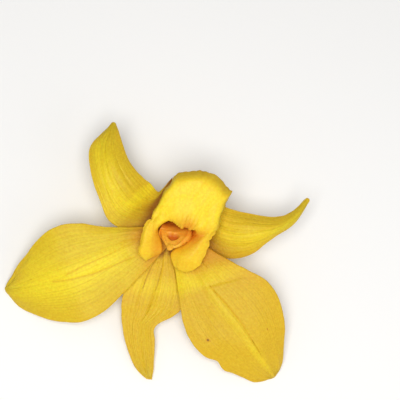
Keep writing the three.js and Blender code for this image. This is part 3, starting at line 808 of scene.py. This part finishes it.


# Flower tissue kept with glycerine and dried: rows of waxy cells give a satin, slightly frosted
# surface, light passes a little way into it, and fine veins run the length of the organ.
# The tint kept at each point blends its colours: blush, pale and gold, and dark where blush is over 1. The
# blush and gold carry painted shade and the pale carries painted highlights; past 1 the blush gives real
# specks and painted shade.
def flowerTissue(name, look):
    material, tree = newMaterial(name)
    tint = addNode(tree, "Attribute", {}, attribute_name="tint")
    place = addNode(tree, "Attribute", {}, attribute_name="place")
    tints = addNode(tree, "SeparateXYZ", {0: tint.outputs["Vector"]})
    spot = addNode(tree, "TexCoord", {}).outputs["Object"]
    cloud = addNode(tree, "TexNoise", {"Vector": spot, "Scale": 1000 / look["cloudMm"], "Detail": 3.0})
    cells = addNode(tree, "TexVoronoi", {"Vector": spot, "Scale": 1000 / look["cellMm"]})
    grain = addNode(tree, "TexNoise", {"Vector": spot, "Scale": 1000 / look["grainMm"], "Detail": 4.0})
    cloudShare = addNode(tree, "MapRange", {0: cloud.outputs["Fac"], 1: 0.35, 2: 0.7}).outputs[0]
    colour = mixColours(tree, cloudShare, linear(look["body"]), linear(look["deep"]))
    colour = mixColours(tree, tints.outputs[2], colour, linear(look["gold"]))
    colour = mixColours(tree, tints.outputs[1], colour, linear(look["pale"]))
    colour = mixColours(tree, tints.outputs[0], colour, linear(look["blushAndShade"]))
    # Where the blush passes 1 the tissue darkens to the speck colour: real specks, and painted shade at
    # tepal bases
    speckAndShade = addNode(tree, "Math", {0: tints.outputs[0], 1: 1.0}, operation="SUBTRACT", use_clamp=True)
    colour = mixColours(tree, speckAndShade.outputs[0], colour, linear(look["speck"]))
    stretched = addNode(tree, "Mapping", {0: place.outputs["Vector"], 3: look["veinStretch"]})
    veins = addNode(tree, "TexNoise", {"Vector": stretched.outputs[0], "Scale": 1.0, "Detail": 4.0})
    veinShare = addNode(tree, "MapRange", {
        0: veins.outputs["Fac"], 1: 0.45, 2: 0.75, 3: 0.0, 4: look["veinDepth"],
    })
    colour = mixColours(tree, veinShare.outputs[0], colour, linear(look["vein"]))
    speck = addNode(tree, "MapRange", {
        0: grain.outputs["Fac"], 1: 0.35, 2: 0.65, 3: 0.0, 4: look["grainDepth"],
    })
    colour = mixColours(tree, speck.outputs[0], colour, linear(look["deep"]), "MULTIPLY")
    beads = {0: cells.outputs["Distance"], 1: grain.outputs["Fac"]}
    cellGrain = addNode(tree, "Math", beads, operation="ADD")
    height = addNode(tree, "Math", {0: veins.outputs["Fac"], 1: cellGrain.outputs[0]}, operation="ADD")
    surface = addNode(tree, "Bump", {
        "Height": height.outputs[0], "Strength": look["bump"], "Distance": tissue["bumpMm"] * mm,
    })
    shader = addNode(tree, "BsdfPrincipled", {
        "Base Color": colour,
        "Roughness": look["roughness"],
        "IOR": tissue["ior"],
        "Specular IOR Level": tissue["specular"],
        "Subsurface Weight": look["subsurface"],
        "Subsurface Radius": tissue["glow"],
        "Subsurface Scale": tissue["glowMm"] * mm,
        "Normal": surface.outputs[0],
    })
    addNode(tree, "OutputMaterial", {"Surface": shader.outputs[0]})
    return material


# Preserved petal, thin and supple: a soft satin sheen, yellow that deepens in patches, faint brown veins
petalLook = {
    # The gold and the blush below are partly painted shade: gold where organs turn from the light, blush at
    # bases under the lip
    "body": "#e8d02a", "deep": "#e0c126", "pale": "#f8e42b", "gold": "#e0b927", "blushAndShade": "#d99d22",
    "speck": "#5f4d18",
    "vein": "#b88a18", "veinStretch": (1.6, 40.0, 1.0), "veinDepth": 0.32,
    "cloudMm": 6,
    # Real cells are about 0.05 mm, too fine to show, so the cells and their grain are drawn coarser
    "cellMm": 0.3, "grainMm": 0.5, "grainDepth": 0.3,
    "roughness": 0.5, "subsurface": 0.2, "bump": 0.45,
}
# Preserved sepal, firmer than a petal: stronger veins, and brown where it grows from the foot, partly its
# own colour and partly painted shade under the lip
sepalLook = {**petalLook, "body": "#eacf2a", "gold": "#e3bc28", "blushAndShade": "#a56b12", "veinDepth": 0.42}
# Preserved lip: smooth and bright, its veins fan out to the margin, and the throat is orange
lipLook = {
    **petalLook,
    # Its gold, on the margin, is partly painted shade where the margin curls back
    "body": "#f3cb2c", "deep": "#eec32a", "pale": "#fadf30", "gold": "#bd9f28", "blushAndShade": "#e0881f",
    "vein": "#e0b127", "veinStretch": (60.0, 2.0, 1.0), "veinDepth": 0.2, "bump": 0.15,
}
# Waxy column, fleshy and dried whole: smoother and glossier than the petals, it glows orange inside
columnLook = {
    **petalLook,
    # Its blush darkens the stigma hollow and, under the throat's rim, paints shade
    "body": "#f6b83a", "deep": "#efab34", "pale": "#f6c03e", "gold": "#e0a22c", "blushAndShade": "#cc6a16",
    "vein": "#e08a28", "veinStretch": (4.0, 6.0, 6.0), "veinDepth": 0.15, "bump": 0.15, "roughness": 0.42,
    "subsurface": 0.3,
}
# Waxy anther cap: the same smooth flesh, paler, with hardly a vein
capLook = {**columnLook, "body": "#f8c03a", "deep": "#f0b034", "blushAndShade": "#f0ae34"}
# Stalk rind, shrunk on to its ribs as it dried: duller and greener than the flower, with fine furrows
stalkLook = {
    **petalLook,
    "body": "#bfa73a", "deep": "#a8923a", "pale": "#cdb84e", "gold": "#8b6f38", "blushAndShade": "#d9ab2c",
    "vein": "#8f7c2e", "veinStretch": (3.0, 9.0, 9.0), "veinDepth": 0.5, "bump": 0.6, "roughness": 0.62,
    "subsurface": 0.1,
}

petalTissue = flowerTissue("preservedPetalTissue", petalLook)
sepalTissue = flowerTissue("preservedSepalTissue", sepalLook)
lipTissue = flowerTissue("preservedLipTissue", lipLook)
columnTissue = flowerTissue("waxyColumnTissue", columnLook)
capTissue = flowerTissue("waxyAntherCap", capLook)
stalkRind = flowerTissue("driedStalkRind", stalkLook)
print("materials ready")

for name, organ in tepals.items():
    if "petal" in name:
        buildTepal(name, organ, petalTissue, "petal")
    else:
        buildTepal(name, organ, sepalTissue, "sepal")
buildLip(lipTissue)
buildColumn(columnTissue)
buildCap(capTissue)
buildStalk(stalkRind)

studio = {
    "focus": (5.94, 8.06, 1.0),  # point of the bloom's frame in the middle of the view, in mm
    "distance": 300, "lens": 127,
    "floor": "#fcfbf9", "floorSize": 3.0, "floorRoughness": 0.9,  # size in metres
    "skyStrength": 0.26,
    "lights": [
        {"name": "keyLight", "from": (0, -10, 450), "size": 240, "power": 1.7},
        {"name": "fillLight", "from": (380, -260, 330), "size": 400, "power": 0.4},
    ],
}


def addLight(spec):
    light = bpy.data.lights.new(spec["name"], "AREA")
    light.energy = spec["power"]
    light.size = spec["size"] * mm
    lamp = bpy.data.objects.new(spec["name"], light)
    lamp.location = toWorld([spec["from"]])[0]
    aim = Vector(toWorld([studio["focus"]])[0]) - lamp.location
    lamp.rotation_euler = aim.to_track_quat("-Z", "Y").to_euler()
    bpy.context.scene.collection.objects.link(lamp)


def buildStudio():
    size = studio["floorSize"] / 2
    mesh = bpy.data.meshes.new("studioFloor")
    corners = [(-size, -size, 0), (size, -size, 0), (size, size, 0), (-size, size, 0)]
    mesh.from_pydata(corners, [], [(0, 1, 2, 3)])
    floor = bpy.data.objects.new("studioFloor", mesh)
    # Uncoated white paper: no gloss, so the shadows fall softly on it
    material, tree = newMaterial("mattPaperFloor")
    paper = {"Base Color": linear(studio["floor"]), "Roughness": studio["floorRoughness"]}
    shader = addNode(tree, "BsdfPrincipled", paper)
    addNode(tree, "OutputMaterial", {"Surface": shader.outputs[0]})
    mesh.materials.append(material)
    bpy.context.scene.collection.objects.link(floor)
    world = bpy.data.worlds.new("softSky")
    world.use_nodes = True
    sky = world.node_tree.nodes["Background"]
    sky.inputs["Color"].default_value = (1, 1, 1, 1)
    sky.inputs["Strength"].default_value = studio["skyStrength"]
    bpy.context.scene.world = world
    for spec in studio["lights"]:
        addLight(spec)


def aimCamera():
    camera = bpy.data.objects.new("camera", bpy.data.cameras.new("camera"))
    camera.data.lens = studio["lens"]
    focus = np.array(studio["focus"])
    turn = Matrix(bloomTurn.tolist()).to_4x4()
    turn.translation = Vector(toWorld([focus + (0, 0, studio["distance"])])[0])
    camera.matrix_world = turn
    bpy.context.scene.collection.objects.link(camera)
    bpy.context.scene.camera = camera


buildStudio()
aimCamera()
bpy.context.scene.view_settings.view_transform = "Standard"
print("studio and camera ready")
